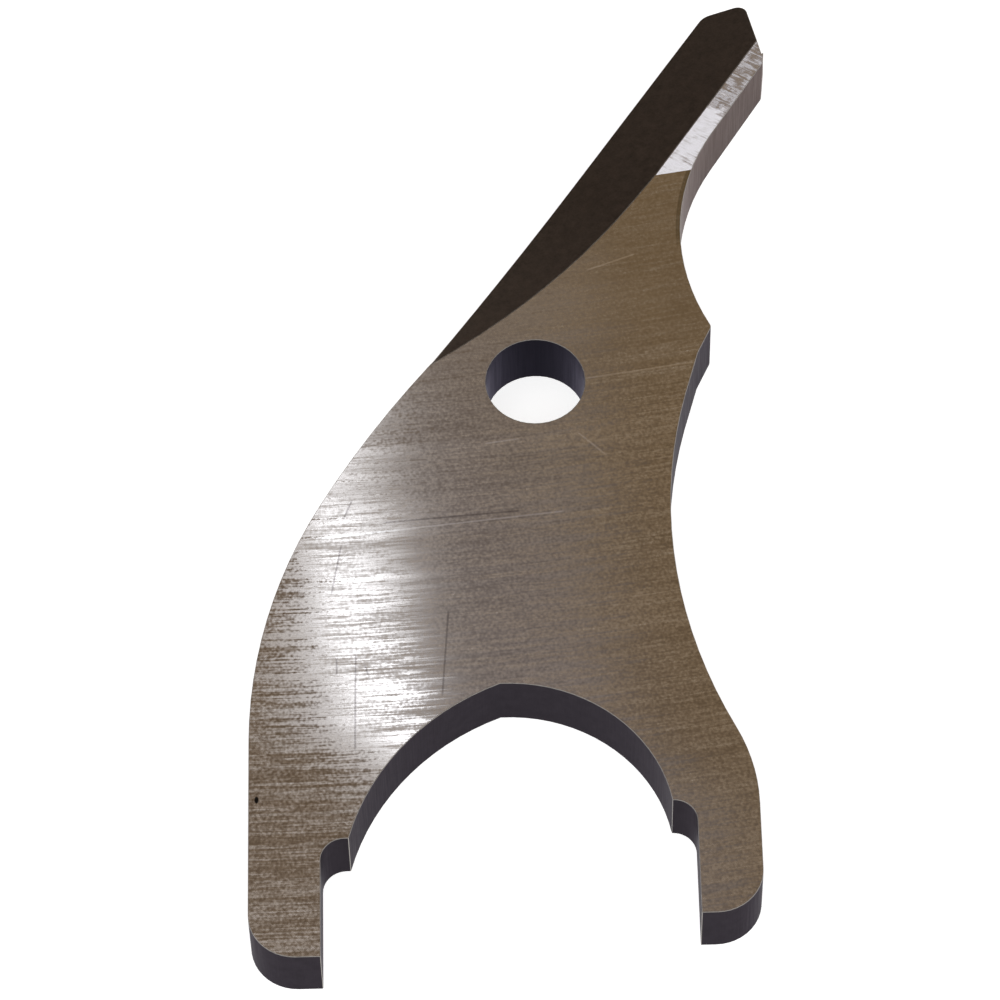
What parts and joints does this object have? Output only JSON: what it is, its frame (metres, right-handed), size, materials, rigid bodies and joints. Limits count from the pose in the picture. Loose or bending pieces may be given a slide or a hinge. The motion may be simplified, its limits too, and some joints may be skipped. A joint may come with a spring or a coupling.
{
  "type": "shear blade",
  "caption": "Forked steel blade of a powered shear: pivots on a bore, is rocked by a bearing in its fork and cuts along a bevelled finger.",
  "frame": {"origin": "centre of the pivot bore at mid-thickness", "axes": "+Z along the pivot bore, out of the front face that carries the bevel; -Y out of the open end of the fork; the cutting finger reaches towards +Y and leans to +X"},
  "size_m": [0.0436, 0.0907, 0.0054],
  "materials": {
    "ground_tool_steel": "hardened tool steel, surface ground across its length, with dark cut walls"
  },
  "bodies": {
    "root": {"center_blade": "ground_tool_steel"}
  },
  "joints": []
}
